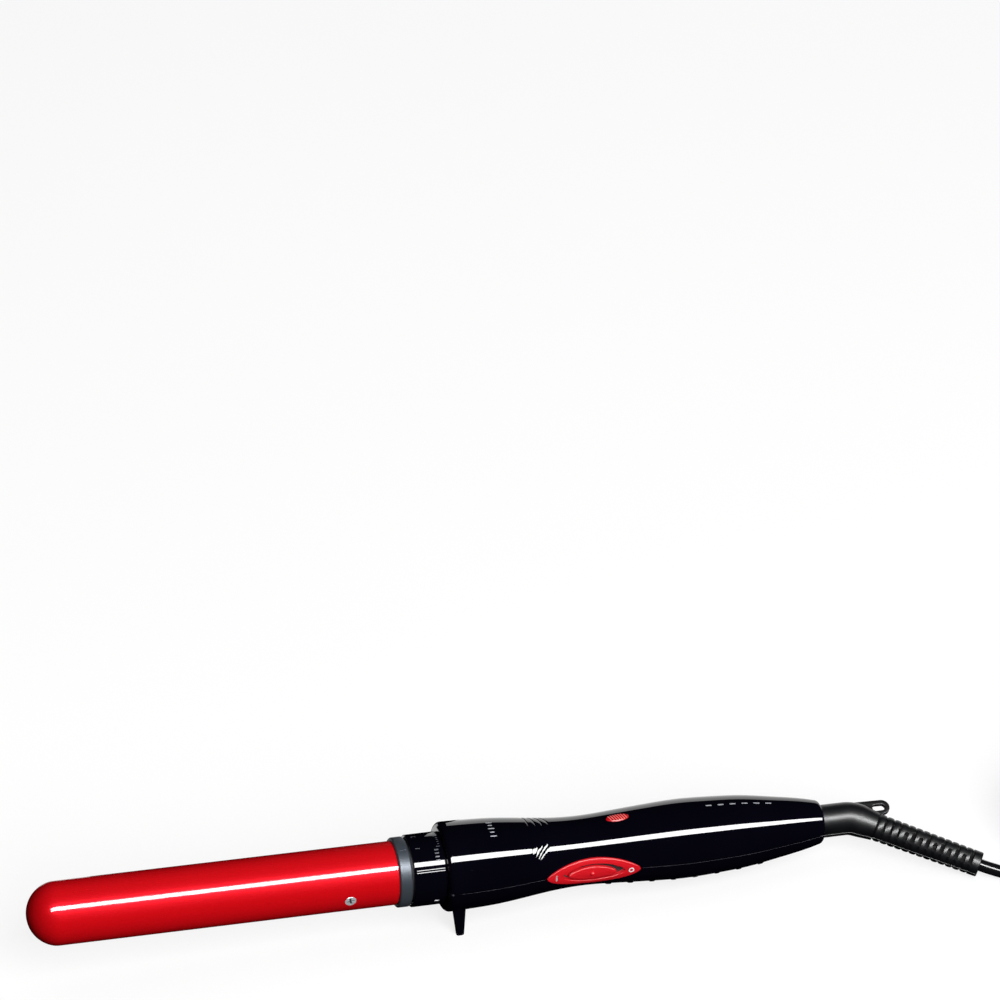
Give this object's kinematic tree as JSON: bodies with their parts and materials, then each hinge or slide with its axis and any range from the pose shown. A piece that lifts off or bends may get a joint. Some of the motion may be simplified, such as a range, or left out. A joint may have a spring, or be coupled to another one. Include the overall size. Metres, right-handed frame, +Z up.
{
  "type": "curling iron",
  "caption": "Clipless curling wand: metallic red domed barrel, temperature dial, waisted gloss black handle with slide switch, fold-out stand, swivelling cord guard and plug.",
  "frame": {"origin": "centre of the wand's bounding box, without the free cord, on the surface it stands on", "axes": "+Z up, +X along the wand from the barrel's tip towards the cord, the switch on the -Y side; the wand is pitched 3.5 degrees, barrel up, on its stand"},
  "size_m": [0.5677, 0.0702, 0.0492],
  "materials": {
    "barrel_red": "glossy metallic red lacquer",
    "ring_grey": "satin steel grey",
    "handle_black": "high gloss black",
    "switch_red": "gloss red",
    "lens_red": "translucent red, moulded ribs",
    "guard_black": "satin black",
    "cord_black": "smooth gloss black",
    "screw_chrome": "bright plated",
    "screw_steel": "zinc plated",
    "inner_black": "heat-resistant matt black",
    "shoe_aluminium": "extruded",
    "slab_white": "fired white ceramic slab in insulating film",
    "contact_brass": "bright",
    "board_green": "printed board, green mask",
    "wire_white": "woven glass sleeve",
    "tie_black": "matt black strap"
  },
  "bodies": {
    "wand": {"barrel": "barrel_red", "barrel_screws": "screw_chrome", "neck_sleeve": "inner_black", "insulating_ring": "ring_grey", "temperature_track": "board_green", "heater_clamp_upper": "shoe_aluminium", "heater_clamp_lower": "shoe_aluminium", "heater_slab": "slab_white", "clamp_springs": "screw_steel", "thermal_fuse": "slab_white", "heater_wires": "wire_white", "supply_wires": "wire_white", "handle_upper_shell": "handle_black", "handle_lower_shell": "handle_black", "handle_screws": "screw_steel", "switch_plate": "switch_red", "switch_body": "inner_black", "indicator_lens": "lens_red", "status_lamp": "lens_red", "control_board": "board_green", "board_capacitor": "inner_black", "board_triac": "inner_black", "stand_pin": "screw_steel", "brush_holder": "inner_black", "contact_brushes": "contact_brass"},
    "dial": {"temperature_dial": "handle_black", "dial_wiper": "contact_brass"},
    "switch": {"switch_knob": "switch_red"},
    "stand": {"stand": "handle_black"},
    "cord_swivel": {"swivel_spigot": "inner_black", "slip_rings": "contact_brass", "cord_guard": "guard_black", "cord_lead": "cord_black", "cord_coil": "cord_black", "cord_ties": "tie_black", "cord_tail": "cord_black", "plug_relief": "guard_black", "plug_body": "guard_black", "plug_blades": "screw_chrome"}
  },
  "joints": [
    {"name": "dial_turn", "type": "hinge", "parent": "wand", "child": "dial", "pos_m": [-0.03437, 0.00682, 0.02792], "axis": [0.9981, 0, -0.061], "range_deg": [0, 150]},
    {"name": "switch_slide", "type": "slide", "parent": "wand", "child": "switch", "axis": [0.9981, 0, -0.061], "range_m": [0, 0.003]},
    {"name": "stand_fold", "type": "hinge", "parent": "wand", "child": "stand", "pos_m": [-0.02037, 0.00682, 0.01604], "axis": [0, -1, 0], "range_deg": [0, 90]},
    {"name": "cord_turn", "type": "hinge", "parent": "wand", "child": "cord_swivel", "pos_m": [0.12184, 0.00682, 0.01836], "axis": [0.9981, 0, -0.061], "continuous": true}
  ]
}
